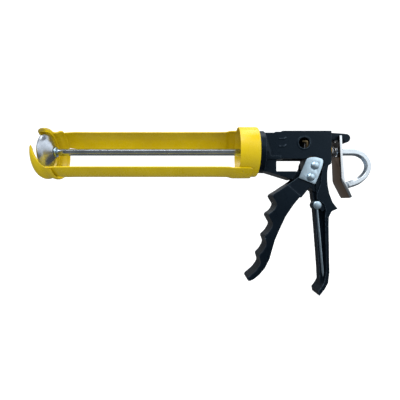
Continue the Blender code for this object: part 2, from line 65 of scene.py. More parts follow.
# Cradle
STRAP_THICK = 1.35
STRAP_NEAR = (133.0, 179.0)
STRAP_FAR = (-73.0, -23.0)
STRAP_STATIONS = (
    (-155.5, 22.7, 1.5),
    (-147.2, 22.7, 1.5),
    (-144.4, 23.2, 1.1),
    (-141.0, 24.5, 0.3),
    (-137.5, 24.9, 0.0),
    (30.0, 24.9, 0.0),
    (32.0, 25.2, 0.0),
    (34.0, 25.95, 0.0),
    (36.0, 26.25, 0.0),
    (54.0, 26.25, 0.0),
)
FAR_STATIONS = ((-145.0, 24.9, 0.0),) + STRAP_STATIONS[5:]
RING_DROP = 1.5
RING_FRONT = -164.4
RING_REAR = -145.3
RING_BORE = 24.4
NOSE_BORE = 22.3
LIP_BORE = 19.2
STOP_X = -162.7
SLOT_ANGLE = 51.0
SLOT_HALF = 12.2
CUP_RIM_X = 41.3
CUP_BACK_X = 61.5
CUP_RADIUS = 25.9
CUP_WALL = 1.4
CUP_CORNER = 2.4

# Casting
FLANGE_X = (61.8, 67.8)
FLANGE_RADIUS = 21.9
SPIGOT_RADIUS = 9.5
SPIGOT_FRONT = 50.6
BODY_HALF = 10.0
BODY_TOP = 20.5
BODY_BOTTOM = -8.2
BODY_REAR = 136.0
CAVITY_X = (88.0, 126.5)
CAVITY_HALF = 7.0
CUTTER_HOLE = (108.1, 8.1)
CUTTER_RADIUS = 5.6
BLOCK_HALF = 6.9
BOSS_HALF = 7.1
THROAT_HALF = 8.2
PUNCTURE = (120.2, -55.4)
NEEDLE_LEAN = 5.2
KNOB = (153.4, 14.0)
KNOB_RADIUS = 4.5

# Trigger, about the pivot pin
PIVOT = (118.1, -15.4)
RIVET = (113.9, -27.1)
DRIVE = (117.1, -8.9)
CHEEK_RADIUS = 9.4
CHEEK_HALF = 10.7
TRIGGER_HALF = 12.0
CHANNEL_HALF = 8.6
PLATE_Y = (11.0, 12.5)
LINK_RADIUS = 6.4
HEAD_RADIUS = 3.9
BLADE_Y = (-8.3, -7.3)

# Release lever and springs
LEVER_HALF = 10.0
LEVER_THICK = 2.4
DRIVE_COIL = (88.9, 108.4, 5.0, 0.65, 6)
RELEASE_COIL = (138.0, 143.6, 4.9, 0.6, 3)

# Fits, shared by several pieces
GAP = 0.3
PIN_HOLE = 2.9
RIVET_HOLE = 2.3
NEEDLE_HOLE = 1.9
THROUGH = 14.0
RIVET_FOOT = 12.8
RIVET_CROWN = 2.2

# Surface detail
CAST_VOXEL = 0.36
WELD_LAP = 1.3
# Heights in metres over which a painted shadow darkens the lever's front, under the arm.
ARM_SHADOW_HEIGHTS = (0.140, 0.147)

# Stage, in metres and watts
BOWL_FLAT = 0.75
BOWL_SWEEP = 0.5
BOWL_HEIGHT = 1.5
BOWL_DROP = 0.0004
FLOOR_GREY = 0.42
FLOOR_GLOW = 0.78
ROOM_BACK = 0.14
ROOM_FRONT = 0.12
ROOM_BOUNCE = 0.5
ROOM_SIDE = 0.75
ROOM_HIGH = 1.0
KEY = 6.2
FILL = 1.05
TOP = 3.5
WORLD = 0.35
LENS = 26.46
CAMERA_AT = (-0.0081, -0.309, 0.0969)
SHIFT = (0.005, 0.0018)


def arc(centre, radius, start, end, steps):
    """Points on a circle in the XZ plane, by degrees up from +X."""
    points = []
    for i in range(steps + 1):
        turn = math.radians(start + (end - start) * i / steps)
        points.append((centre[0] + radius * math.cos(turn), centre[1] + radius * math.sin(turn)))
    return points


def flowing(points, steps):
    """The points joined by a smooth curve that passes through each of them."""
    ends = [points[0]] + points + [points[-1]]
    curve = []
    for a, b, c, d in zip(ends, ends[1:], ends[2:], ends[3:]):
        for i in range(steps):
            t = i / steps
            curve.append(
                tuple(
                    0.5 * (2 * q + (r - p) * t + (2 * p - 5 * q + 4 * r - s) * t * t
                           + (3 * q - p - 3 * r + s) * t ** 3)
                    for p, q, r, s in zip(a, b, c, d)
                )
            )
    return curve + [points[-1]]


def ease_edges(bm, width, segments):
    if not width:
        return
    bmesh.ops.recalc_face_normals(bm, faces=bm.faces)
    sharp = [e for e in bm.edges if e.calc_face_angle(0.0) > math.radians(45)]
    bmesh.ops.bevel(
        bm, geom=sharp, offset=width, segments=segments, profile=0.5, affect="EDGES",
        clamp_overlap=True,
    )


def slab(corners, along, ease=0.0, segments=2):
    """A flat outline of 3-D corners, pushed along a vector."""
    bm = bmesh.new()
    face = bm.faces.new([bm.verts.new(c) for c in corners])
    moved = bmesh.ops.extrude_face_region(bm, geom=[face])["geom"]
    verts = [v for v in moved if isinstance(v, bmesh.types.BMVert)]
    bmesh.ops.translate(bm, vec=along, verts=verts)
    ease_edges(bm, ease, segments)
    return bm


def prism(outline, y0, y1, ease=0.0, segments=2):
    """An outline of (x, z) points, solid from y0 to y1."""
    return slab([(x, y0, z) for x, z in outline], (0.0, y1 - y0, 0.0), ease, segments)


def plate(outline, x0, x1, ease=0.0):
    """An outline of (y, z) points, solid from x0 to x1."""
    return slab([(x0, y, z) for y, z in outline], (x1 - x0, 0.0, 0.0), ease)


def box(x0, x1, y0, y1, z0, z1, ease=0.0):
    return prism([(x0, z0), (x1, z0), (x1, z1), (x0, z1)], y0, y1, ease)


def turned(profile, axis="X", centre=(0.0, 0.0), steps=ROUND_STEPS, phase=0.0):
    """A closed profile of (along, radius) points turned round X, or round Y at an (x, z) centre."""
    bm = bmesh.new()
    turn = math.radians(phase)
    out = Vector((0.0, -math.sin(turn), math.cos(turn)))
    way = Vector((1.0, 0.0, 0.0))
    middle = Vector((0.0, 0.0, 0.0))
    if axis == "Y":
        out = Vector((math.sin(turn), 0.0, math.cos(turn)))
        way = Vector((0.0, 1.0, 0.0))
        middle = Vector((centre[0], 0.0, centre[1]))
    verts = [bm.verts.new(middle + way * along + out * radius) for along, radius in profile]
    edges = [bm.edges.new((a, b)) for a, b in zip(verts, verts[1:] + verts[:1])]
    bmesh.ops.spin(
        bm, geom=verts + edges, cent=middle, axis=way, angle=math.tau, steps=steps,
        use_merge=True, use_duplicate=False,
    )
    bmesh.ops.remove_doubles(bm, verts=bm.verts, dist=1e-4)
    return bm


def rod_round(radius, start, end, axis="X", centre=(0.0, 0.0), ease=0.0, steps=ROUND_STEPS):
    profile = [(start, 0.0), (start, radius - ease), (start + ease, radius)]
    profile += [(end - ease, radius), (end, radius - ease), (end, 0.0)]
    if not ease:
        profile = [(start, 0.0), (start, radius), (end, radius), (end, 0.0)]
    return turned(profile, axis, centre, steps)


def tube(inner, outer, start, end, axis="X", centre=(0.0, 0.0), steps=ROUND_STEPS, ease=0.0):
    profile = [(start, inner), (start, outer - ease), (start + ease, outer)]
    profile += [(end - ease, outer), (end, outer - ease), (end, inner)]
    if not ease:
        profile = [(start, inner), (start, outer), (end, outer), (end, inner)]
    return turned(profile, axis, centre, steps)


def loft(loops):
    """Closed loops of equal length joined in turn, with both ends filled."""
    bm = bmesh.new()
    rows = [[bm.verts.new(point) for point in loop] for loop in loops]
    for low, high in zip(rows, rows[1:]):
        for i in range(len(low)):
            j = (i + 1) % len(low)
            bm.faces.new((low[i], low[j], high[j], high[i]))
    bm.faces.new(rows[0])
    bm.faces.new(rows[-1])
    return bm


def hook_line(steps):
    """(x, z, downward turn) along the rod's axis, from its front end to the tip of the hook."""
    bend = flowing([
        (158.0, 0.0), (162.5, -0.1), (167.3, -1.0), (173.6, -4.8), (177.7, -11.6),
        (177.5, -18.9), (173.4, -25.7), (166.2, -31.1), (156.2, -34.6),
    ], steps)
    line = [(ROD_FRONT, 0.0, 0.0)]
    for before, here, after in zip([bend[0]] + bend, bend, bend[1:] + [bend[-1]]):
        turn = math.atan2(before[1] - after[1], after[0] - before[0])
        line.append((*here, turn))
    return line


def slot_corners():
    """The nozzle slot across the ring, as (y, z) points."""
    turn = math.radians(SLOT_ANGLE)
    out = Vector((-math.sin(turn), math.cos(turn)))
    side = Vector((math.cos(turn), math.sin(turn))) * SLOT_HALF
    middle = Vector((0.0, -RING_DROP))
    return [middle + way for way in (side, -side, out * 34.0 - side, out * 34.0 + side)]


def mouth_outline():
    """The gap behind the ring's lip through which a cartridge is loaded, as (x, z) points."""
    return [
        (-161.5, 17.0), (-161.5, 1.0), (-160.2, -3.6), (-158.2, -8.4), (-155.9, -12.6),
        (-153.0, -16.4), (-149.6, -18.6), (-142.0, -19.6), (-142.0, 17.0),
    ]


def body_outline():
    return [
        (67.0, BODY_BOTTOM), (67.0, BODY_TOP - 1.9), (78.0, BODY_TOP - 1.9),
        (78.6, BODY_TOP - 1.0), (85.0, BODY_TOP - 1.0), (85.6, BODY_TOP), (BODY_REAR, BODY_TOP),
        (BODY_REAR, -13.0), (126.0, -13.0), (126.0, BODY_BOTTOM),
    ]


def web_outline():
    return [
        (66.5, -21.2), (66.5, -7.4), (80.0, -7.4), (80.0, -20.8), (101.2, -20.8),
        (96.4, -29.2), (71.0, -21.3),
    ]


def wedge_loops(side):
    """The sloping facet between the flange and the body, on one side."""
    foot = [(66.8, 9.4), (74.0, 9.4), (74.0, 10.1), (67.6, 12.6), (66.8, 12.6)]
    head = [(66.8, 9.4), (69.0, 9.4), (69.0, 10.1), (67.6, 10.6), (66.8, 10.6)]
    return [
        [(x, side * y, -1.0) for x, y in foot],
        [(x, side * y, 16.2) for x, y in head],
    ]


def ledge_outline():
    return [(66.6, -8.9), (66.6, -1.2), (73.4, -1.2), (73.9, -5.2), (84.2, -5.2), (84.2, -8.9)]


def mark_outline(drop):
    return [
        (82.6, 12.5 - drop), (82.6, 11.6 - drop), (88.1, 11.6 - drop), (89.9, 13.3 - drop),
        (89.2, 14.0 - drop), (87.7, 12.5 - drop),
    ]


def block_outline():
    return [
        (95.0, -21.0), (111.0, -21.0), (113.5, -17.2), (129.0, -17.2), (129.0, -44.0),
        (119.0, -41.0), (112.0, -34.0), (97.0, -28.6),
    ]


def throat_outline():
    """The solid part of the handle between the block and the puncture pin's rivet."""
    return [
        (120.4, -26.0), (130.5, -26.0), (131.0, -38.0), (134.5, -50.0), (132.0, -58.0),
        (127.0, -62.0), (123.4, -56.0), (121.0, -47.0),
    ]


def grip_rear_outline():
    """The neck, the hand's horn, the handle's rear flange and its foot."""
    return [
        (128.3, -11.5), (135.5, -11.5), (135.2, -13.6), (132.9, -14.9), (131.9, -20.0),
        (131.7, -28.0), (132.1, -35.0), (133.9, -44.1), (137.2, -52.6), (142.3, -59.0),
        (136.2, -61.8), (133.4, -67.4), (133.1, -74.0), (133.5, -100.6), (133.9, -123.8),
        (132.6, -134.7), (129.0, -141.2), (123.6, -147.9), (122.6, -143.0), (125.8, -139.0),
        (128.6, -134.0), (130.4, -123.8), (130.2, -100.6), (129.5, -68.0), (130.3, -60.0),
        (128.6, -54.6), (125.0, -51.4), (121.4, -49.6), (120.9, -45.0), (122.6, -40.0),
        (124.9, -33.7), (126.4, -20.3), (128.4, -15.7),
    ]


def grip_front_outline():
    return [
        (118.0, -39.5), (120.4, -54.0), (122.4, -78.0), (124.0, -99.0), (125.5, -120.0),
        (126.4, -137.5), (130.5, -134.0), (130.2, -120.0), (127.8, -99.0), (126.0, -78.0),
        (124.2, -54.0), (122.5, -41.5),
    ]


def grip_core_outline():
    return [
        (119.0, -39.0), (121.4, -54.0), (123.4, -78.0), (125.0, -99.0), (126.6, -120.0),
        (127.4, -136.0), (131.0, -133.0), (131.8, -123.8), (131.5, -100.6), (131.0, -68.0),
        (131.5, -60.0), (129.0, -48.0), (129.0, -39.0),
    ]


def arm_outline():
    return [(134.5, 12.0), (134.5, 19.8), (152.5, 18.6), (153.4, 14.0), (149.5, 11.6)]


def trigger_outline(steps):
    fingers = flowing([
        (90.9, -34.7), (84.0, -39.5), (75.9, -45.0), (77.6, -50.0), (79.8, -54.7),
        (76.6, -60.5), (71.6, -64.8), (73.6, -70.0), (75.8, -74.9), (72.4, -81.6),
        (67.6, -86.9), (68.6, -91.0), (69.2, -95.0), (66.0, -101.4), (61.9, -106.3),
        (62.6, -110.4), (63.2, -114.4), (59.5, -120.5), (54.0, -125.8), (50.7, -128.6),
        (50.0, -130.6), (50.9, -132.1),
    ], steps)
    rear = [
        (52.6, -132.3), (56.4, -130.5), (61.8, -126.2), (67.8, -119.2), (72.6, -109.7),
        (75.0, -101.0), (77.9, -91.0), (82.5, -80.2), (88.7, -67.0), (96.5, -55.4),
        (104.1, -46.2),
    ]
    return fingers + rear


def cheek_outline(steps):
    return arc(PIVOT, CHEEK_RADIUS, 184, 40, steps) + [
        (124.0, -20.0), (117.0, -34.0), (110.7, -40.8), (105.0, -48.0), (90.0, -42.0),
        (88.4, -36.6), (97.6, -30.0), (104.8, -24.6),
    ]


def channel_outline():
    return [
        (97.0, -25.0), (94.0, -31.5), (92.8, -37.0), (84.5, -48.0), (83.4, -55.0),
        (79.4, -75.0), (72.8, -95.5), (68.6, -109.0), (66.6, -117.5), (90.0, -127.0),
        (140.0, -60.0), (140.0, 0.0), (100.0, 0.0),
    ]


def blade_outline():
    """The blade's hub on the pivot pin and its T-shaped cutting head."""
    return [
        (113.2, -18.2), (122.0, -19.0), (123.4, -12.0), (120.4, -5.0), (115.0, 0.5),
        (112.8, 4.2), (112.8, 8.7), (113.8, 8.9), (113.8, 10.8), (106.8, 10.5), (106.8, 9.1),
        (110.4, 8.8), (110.4, 3.8), (112.2, -2.0), (113.0, -7.0),
    ]


def link_outline(steps):
    return flowing([
        (101.8, -27.8), (105.2, -20.0), (108.9, -10.9), (110.4, -8.5), (113.4, -7.2),
        (118.1, -6.9), (122.6, -7.9), (125.3, -9.0), (126.2, -10.8), (125.7, -14.6),
        (123.9, -20.4), (121.0, -27.6), (118.6, -33.2), (117.2, -34.1),
    ], steps)


def far_link_outline(steps):
    """A plain rounded link round the pivot pin and the rivet."""
    return arc(PIVOT, LINK_RADIUS, 160, -20, steps) + arc(RIVET, LINK_RADIUS, -20, -200, steps)


# ---------------------------------------------------------------- finished pieces


def to_object(name, bm):
    bmesh.ops.recalc_face_normals(bm, faces=bm.faces)
    for vert in bm.verts:
        vert.co = (vert.co - BASE_CENTRE) * MM
    mesh = bpy.data.meshes.new(name)
    bm.to_mesh(mesh)
    bm.free()
    obj = bpy.data.objects.new(name, mesh)
    bpy.context.scene.collection.objects.link(obj)
    return obj


def settle(obj):
    """Applies every modifier, so that the mesh is final."""
    graph = bpy.context.evaluated_depsgraph_get()
    mesh = bpy.data.meshes.new_from_object(obj.evaluated_get(graph))
    obj.modifiers.clear()
    old = obj.data
    obj.data = mesh
    bpy.data.meshes.remove(old)
    return obj


def combine(obj, bm, operation):
    """One Boolean, applied at once."""
    tool = to_object(obj.name + "_tool", bm)
    modifier = obj.modifiers.new("Boolean", "BOOLEAN")
    modifier.operation = operation
    modifier.solver = "EXACT"
    modifier.object = tool
    settle(obj)
    bpy.data.objects.remove(tool)


def cut(obj, bm):
    combine(obj, bm, "DIFFERENCE")


def unite(obj, bm):
    combine(obj, bm, "UNION")


def drill(obj, radius, at, y0, y1):
    cut(obj, rod_round(radius, y0, y1, "Y", at, steps=48))


def cast(obj, voxel, passes, keep):
    """Turns crisp Boolean work into the softened skin of a casting, thinned to a share kept."""
    skin = obj.modifiers.new("Skin", "REMESH")
    skin.mode = "VOXEL"
    skin.voxel_size = voxel * MM
    soft = obj.modifiers.new("Soften", "SMOOTH")
    soft.factor = 0.5
    soft.iterations = passes
    thin = obj.modifiers.new("Thin", "DECIMATE")
    thin.ratio = keep
    return settle(obj)


def round_edges(obj, width, segments=3, angle=35):
    edge = obj.modifiers.new("Edges", "BEVEL")
    edge.width = width * MM
    edge.segments = segments
    edge.limit_method = "ANGLE"
    edge.angle_limit = math.radians(angle)
    edge.harden_normals = False
    return settle(obj)


def finish_piece(obj, look, body, slot, *nodes, angle=40):
    for polygon in obj.data.polygons:
        polygon.use_smooth = True
    obj.data.set_sharp_from_angle(angle=math.radians(angle))
    obj.data.materials.clear()
    obj.data.materials.append(look)
    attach(obj, body)
    if nodes:
        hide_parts(*nodes)
    return obj


# ---------------------------------------------------------------- materials


def node(tree, kind, inputs=None, **settings):
    made = tree.nodes.new(kind)
    for key, value in settings.items():
        setattr(made, key, value)
    for key, value in (inputs or {}).items():
        if isinstance(value, bpy.types.NodeSocket):
            tree.links.new(value, made.inputs[key])
        else:
            made.inputs[key].default_value = value
    return made


def blank(name):
    made = bpy.data.materials.new(name)
    made.use_nodes = True
    tree = made.node_tree
    shader = tree.nodes["Principled BSDF"]
    place = node(tree, "ShaderNodeTexCoord").outputs["Object"]
    return made, tree, shader, place


def noise(tree, place, scale, detail=4.0, rough=0.55, stretch=None):
    if stretch:
        place = node(
            tree, "ShaderNodeMapping", {"Vector": place, "Scale": stretch}
        ).outputs["Vector"]
    made = node(tree, "ShaderNodeTexNoise", {
        "Vector": place, "Scale": scale, "Detail": detail, "Roughness": rough,
    })
    return made.outputs["Fac"]


def spread(tree, value, low, high, to_low=0.0, to_high=1.0):
    return node(tree, "ShaderNodeMapRange", {
        "Value": value, "From Min": low, "From Max": high, "To Min": to_low, "To Max": to_high,
    }).outputs["Result"]


def times(tree, a, b):
    return node(tree, "ShaderNodeMath", {0: a, 1: b}, operation="MULTIPLY").outputs["Value"]


def plus(tree, a, b):
    return node(tree, "ShaderNodeMath", {0: a, 1: b}, operation="ADD").outputs["Value"]


def blend_colour(tree, amount, a, b):
    made = node(tree, "ShaderNodeMix", data_type="RGBA", blend_type="MIX")
    for index, value in ((0, amount), (6, a), (7, b)):
        if isinstance(value, bpy.types.NodeSocket):
            tree.links.new(value, made.inputs[index])
        else:
            made.inputs[index].default_value = value
    return made.outputs[2]


def bumps(tree, shader, height, distance):
    made = node(tree, "ShaderNodeBump", {
        "Height": height, "Distance": distance * MM, "Strength": 1.0,
    })
    tree.links.new(made.outputs["Normal"], shader.inputs["Normal"])


def edge_wear_and_highlight(tree, place, low, high):
    """High along convex edges, broken up by noise."""
    point = node(tree, "ShaderNodeNewGeometry").outputs["Pointiness"]
    ridge = spread(tree, point, low, high)
    patch = spread(tree, noise(tree, place, 900.0, 5.0, 0.7), 0.42, 0.62)
    return times(tree, ridge, patch)


def paint(name, colour, deep, metal, rough, gloss, peel, wear_and_highlight, grain=1.0, sheen=(1.0, 1.0, 1.0)):
    """Paint over metal: slow colour drift, orange peel, dust in the roughness, and convex edges in
    a second colour that stands for worn paint, and on the black casting for a painted highlight.
    """
    made, tree, shader, place = blank(name)
    drift = spread(tree, noise(tree, place, 28.0, 3.0), 0.3, 0.7)
    base = blend_colour(tree, drift, (*deep, 1.0), (*colour, 1.0))
    specks = spread(tree, noise(tree, place, 2600.0, 2.0, 0.6), 0.66, 0.74, 0.0, 0.35)
    base = blend_colour(tree, specks, base, (*[c * 0.55 for c in deep], 1.0))
    # Convex edges take the edge colour: worn paint on the yellow, and a painted bluish highlight
    # along the black casting's edges.
    worn_and_highlit = times(tree, edge_wear_and_highlight(tree, place, *wear_and_highlight), 0.75)
    base = blend_colour(tree, worn_and_highlit, base, (*metal, 1.0))
    tree.links.new(base, shader.inputs["Base Color"])
    smudge = noise(tree, place, 75.0, 6.0, 0.62)
    fine = noise(tree, place, 700.0, 3.0, 0.6)
    dull = plus(tree, spread(tree, smudge, 0.3, 0.72, rough[0], rough[1]),
                spread(tree, fine, 0.3, 0.7, -0.03, 0.05))
    tree.links.new(plus(tree, dull, times(tree, worn_and_highlit, 0.2)), shader.inputs["Roughness"])
    shader.inputs["Specular IOR Level"].default_value = gloss
    shader.inputs["Specular Tint"].default_value = (*sheen, 1.0)
    height = plus(tree, times(tree, noise(tree, place, 420.0, 2.0, 0.5), 1.0),
                  times(tree, noise(tree, place, 2400.0, 3.0, 0.6), 0.25 * grain))
    bumps(tree, shader, height, peel)
    return made


def metal(name, colour, dark, rough, stretch, streak_scale, depth, stain=None, front=None,
          lathe=False):
    """Bare or plated metal: streaks, clouding and handling marks, with painted brown shade and
    reflection on the faces towards the barrel, darkened to a painted shadow above a set height.
    """
    made, tree, shader, place = blank(name)
    streak = noise(tree, place, streak_scale, 6.0, 0.65, stretch)
    cloud = noise(tree, place, 60.0, 4.0, 0.55)
    base = blend_colour(tree, spread(tree, cloud, 0.3, 0.7), (*dark, 1.0), (*colour, 1.0))
    base = blend_colour(
        tree, spread(tree, streak, 0.35, 0.65, 0.0, 0.25), base, (*[c * 0.8 for c in dark], 1.0)
    )
    if stain:
        spots = spread(tree, noise(tree, place, 210.0, 5.0, 0.7), 0.6, 0.74, 0.0, 0.6)
        base = blend_colour(tree, spots, base, (*stain, 1.0))
    # Painted shade and reflection: faces turned towards the barrel take the brown front colour, and
    # above a set height it darkens to a painted shadow, as under the release arm.
    if front:
        facing = node(tree, "ShaderNodeTexCoord").outputs["Normal"]
        facing = node(tree, "ShaderNodeSeparateXYZ", {"Vector": facing}).outputs["X"]
        front_shade_mask = spread(tree, facing, -0.35, -0.75)
        front_shade_mask = times(tree, front_shade_mask, spread(tree, cloud, 0.2, 0.6, 0.86, 1.0))
        height = node(tree, "ShaderNodeSeparateXYZ", {"Vector": place}).outputs["Z"]
        arm_shadow_mask = spread(tree, height, *ARM_SHADOW_HEIGHTS)
        front_shade_colour = blend_colour(tree, arm_shadow_mask, (*front, 1.0), (*[c * 0.12 for c in front], 1.0))
        base = blend_colour(tree, front_shade_mask, base, front_shade_colour)
    tree.links.new(base, shader.inputs["Base Color"])
    shader.inputs["Metallic"].default_value = 1.0
    if lathe:
        shader.inputs["Anisotropic"].default_value = 0.8
        round_x = node(tree, "ShaderNodeTangent", direction_type="RADIAL", axis="X")
        tree.links.new(round_x.outputs["Tangent"], shader.inputs["Tangent"])
    marks = noise(tree, place, 150.0, 6.0, 0.7)
    dull = plus(tree, spread(tree, marks, 0.35, 0.7, rough[0], rough[1]),
                spread(tree, streak, 0.3, 0.7, -0.04, 0.07))
    tree.links.new(dull, shader.inputs["Roughness"])
    bumps(tree, shader, streak, depth)
    return made


YELLOW = paint("yellow_enamel", (0.74, 0.54, 0.006), (0.64, 0.45, 0.004), (0.34, 0.27, 0.14),
               (0.20, 0.34), 0.36, 0.05, (0.53, 0.62))
# The edge colour (0.13, 0.18, 0.24) and the low edge thresholds give a painted bluish highlight
# along the casting's edges, with some edge wear.
BLACK = paint("black_casting", (0.0030, 0.0064, 0.0112), (0.0020, 0.0044, 0.0080),
              (0.13, 0.18, 0.24), (0.24, 0.38), 0.19, 0.07, (0.515, 0.565), 2.0, (0.55, 0.78, 1.0))
ZINC = metal("zinc_plate", (0.56, 0.72, 0.84), (0.48, 0.62, 0.73), (0.30, 0.42),
             (1.0, 1.0, 0.25), 700.0, 0.0012, (0.34, 0.34, 0.32))
# Its last colour is the painted brown shade and reflection of the lever's front faces. Near the top
# it darkens to a painted shadow under the arm.
LEVER = metal("zinc_lever", (0.62, 0.66, 0.70), (0.50, 0.54, 0.58), (0.10, 0.22),
              (1.0, 0.15, 1.0), 800.0, 0.005, (0.40, 0.36, 0.30), (0.36, 0.25, 0.18))
CHROME = metal("bright_steel", (0.62, 0.69, 0.75), (0.48, 0.54, 0.60), (0.12, 0.24),
               (0.03, 1.0, 1.0), 1500.0, 0.004, (0.42, 0.40, 0.36))
DISH = metal("piston_plate", (0.62, 0.67, 0.74), (0.34, 0.37, 0.42), (0.16, 0.26),
             (1.0, 1.0, 1.0), 1300.0, 0.003, (0.34, 0.32, 0.28), lathe=True)
# The bush's colour is darkened as painted shade of the casting's rear bore it sits in.
BRASS = metal("brass", (0.30, 0.19, 0.05), (0.20, 0.12, 0.03), (0.20, 0.36),
              (1.0, 0.1, 0.1), 1000.0, 0.006)
WIRE = metal("spring_steel", (0.46, 0.47, 0.49), (0.30, 0.31, 0.33), (0.24, 0.40),
             (1.0, 1.0, 1.0), 1200.0, 0.005, (0.25, 0.21, 0.17))
HARD = metal("hardened_steel", (0.20, 0.20, 0.21), (0.12, 0.12, 0.13), (0.30, 0.48),
             (1.0, 0.2, 1.0), 900.0, 0.008, (0.18, 0.13, 0.09))
# The blade's colour is darkened as painted shade of the cutter hole it sits in.
BLADE = metal("blade_steel", (0.17, 0.13, 0.07), (0.10, 0.075, 0.04), (0.20, 0.34),
              (0.15, 1.0, 1.0), 900.0, 0.006)


# ---------------------------------------------------------------- cradle


def round_point(x, radius, degrees):
    turn = math.radians(degrees)
    return (x, -radius * math.sin(turn), radius * math.cos(turn))


def dimple(x, radius, degrees, size):
    """A ball that leaves a shallow weld dimple."""
    bm = bmesh.new()
    bmesh.ops.create_uvsphere(bm, u_segments=24, v_segments=16, radius=size)
    bmesh.ops.translate(bm, vec=Vector(round_point(x, radius, degrees)), verts=bm.verts)
    return bm


def front_ring():
    profile = [
        (RING_FRONT + 0.15, LIP_BORE), (RING_FRONT, LIP_BORE + 0.3), (RING_FRONT, 22.4),
        (-164.2, 23.2), (-163.6, 24.1), (-162.7, 25.0), (-161.6, 25.75), (-160.4, 26.3),
        (-159.2, 26.6), (-157.9, 26.6), (-156.6, 26.3), (-155.3, 25.9), (-154.2, 25.75),
        (-153.0, 25.75), (-152.0, 25.9), (-151.0, 26.2), (-150.1, 26.6), (-149.1, 26.95),
        (-148.0, 27.1), (-147.0, 27.08), (-146.1, 26.9), (-145.5, 26.6), (RING_REAR, 26.2),
        (-145.4, 25.7), (-145.8, 25.5), (-147.4, 25.6), (-148.6, 25.5), (-149.8, 25.2),
        (-150.8, 24.8), (-151.6, RING_BORE), (-156.5, RING_BORE), (-156.8, RING_BORE - 0.3),
        (-156.9, NOSE_BORE), (STOP_X + 0.4, NOSE_BORE), (STOP_X, NOSE_BORE - 0.4),
        (STOP_X, LIP_BORE + 0.2), (STOP_X - 0.15, LIP_BORE),
    ]
    bm = turned(profile, steps=144)
    bmesh.ops.translate(bm, vec=(0.0, 0.0, -RING_DROP), verts=bm.verts)
    ring = to_object("front_ring_skin", bm)
    cut(ring, plate(slot_corners(), -170.0, -140.0))
    mouth = mouth_outline()
    cut(ring, prism(mouth[:1] + flowing(mouth[1:-1], 4) + mouth[-1:], -40.0, -5.0))
    cut(ring, box(-156.3, -142.0, -30.0, 7.7, 12.0, 40.0))
    round_edges(ring, 0.3, 3, 50)
    finish_piece(ring, YELLOW, "cradle", "yellow_enamel", "front_ring")


def strap(name, span, given, node_name):
    steps = 28
    middle = (span[0] + span[1]) / 2
    half = (span[1] - span[0]) / 2
    stations = []
    for (x0, r0, d0), (x1, r1, d1) in zip(given, given[1:]):
        count = 3 if x1 - x0 < 10 else 14
        for i in range(count):
            share = i / count
            stations.append((x0 + (x1 - x0) * share, r0 + (r1 - r0) * share,
                             d0 + (d1 - d0) * share))
    stations.append(given[-1])
    loops = []
    for x, inner, drop in stations:
        plain = min(max((x + 137.0) / 12.0, 0.0), 1.0) * min(max((30.0 - x) / 12.0, 0.0), 1.0)
        nose = min((x - given[0][0]) / 3.0, (54.0 - x) / 3.5, 1.0)
        narrow = 1.0 - 0.12 * (1.0 - max(nose, 0.0)) ** 2
        loop = []
        for radius, way in ((inner, 1), (inner + STRAP_THICK, -1)):
            for i in range(steps + 1)[::way]:
                across = -1.0 + 2.0 * i / steps
                crease = 0.42 * plain * (max(0.0, 1.0 - abs(across) * 1.15) - 0.45)
                at = round_point(x, radius + crease, middle + half * narrow * across)
                loop.append((at[0], at[1], at[2] - drop))
        loops.append(loop)
    obj = to_object(name, loft(loops))
    for x, at in ((44.0, -0.55), (44.0, 0.55), (50.0, 0.0)):
        cut(obj, dimple(x, 26.25 + STRAP_THICK + 1.9, middle + half * at, 2.4))
    round_edges(obj, 0.38, 3, 50)
    finish_piece(obj, YELLOW, "cradle", "yellow_enamel", node_name)


def rear_cup():
    flat = CUP_BACK_X - CUP_CORNER
    outer = arc((flat, CUP_RADIUS - CUP_CORNER), CUP_CORNER, 90, 0, 14)
    inner = arc((flat, CUP_RADIUS - CUP_CORNER), CUP_CORNER - CUP_WALL, 0, 90, 10)
    rim = arc((CUP_RIM_X + CUP_WALL / 2, CUP_RADIUS - CUP_WALL / 2), CUP_WALL / 2, 270, 90, 8)
    bore = SPIGOT_RADIUS + GAP
    profile = rim[1:] + outer
    profile += [
        (CUP_BACK_X, bore + 0.2), (CUP_BACK_X - 0.2, bore), (60.3, bore), (60.1, bore + 0.2),
    ]
    profile += inner
    cup = to_object("rear_cup_skin", turned(profile, steps=144))
    finish_piece(cup, YELLOW, "cradle", "yellow_enamel", "rear_cup")


# ---------------------------------------------------------------- rod and piston


def push_rod():
    corner = ROD_FLATS / math.sqrt(3)
    ease = 0.55
    section = []
    for k in range(6):
        for lean in (-1.0, -0.35, 0.35, 1.0):
            side = math.radians(60 * k) + lean * ease / corner * 0.5
            reach = corner * (1.0 - 0.035 * (1.0 - lean * lean)) - 0.012
            section.append((reach * math.cos(side), reach * math.sin(side)))
    line = hook_line(6)
    first, second = line[0][0], line[1][0]
    path = [(first, 0.0, 0.0, 0.9), (first + 0.5, 0.0, 0.0, 1.0)]
    for i in range(1, 30):
        path.append((first + (second - first) * i / 30, 0.0, 0.0, 1.0))
    path += [(*at, 1.0) for at in line[1:-1]]
    x, z, turn = line[-1]
    for back, size in ((0.75, 1.0), (0.25, 0.93), (0.0, 0.82)):
        path.append((x - back * math.cos(turn), z + back * math.sin(turn), turn, size))
    loops = []
    for x, z, turn, size in path:
        loops.append([
            (x + up * size * math.sin(turn), across * size, z + up * size * math.cos(turn))
            for up, across in section
        ])
    rod = to_object("push_rod_skin", loft(loops))
    finish_piece(rod, CHROME, "rod", "bright_steel", "push_rod", angle=50)
    stud = to_object("push_rod_stud", turned([
        (STUD_FRONT, 0.0), (STUD_FRONT, 2.0), (STUD_FRONT + 0.5, 2.6),
        (STUD_FRONT + 1.0, STUD_RADIUS), (ROD_FRONT + 0.3, STUD_RADIUS), (ROD_FRONT + 0.3, 0.0),
    ], steps=40))
    finish_piece(stud, CHROME, "rod", "bright_steel")


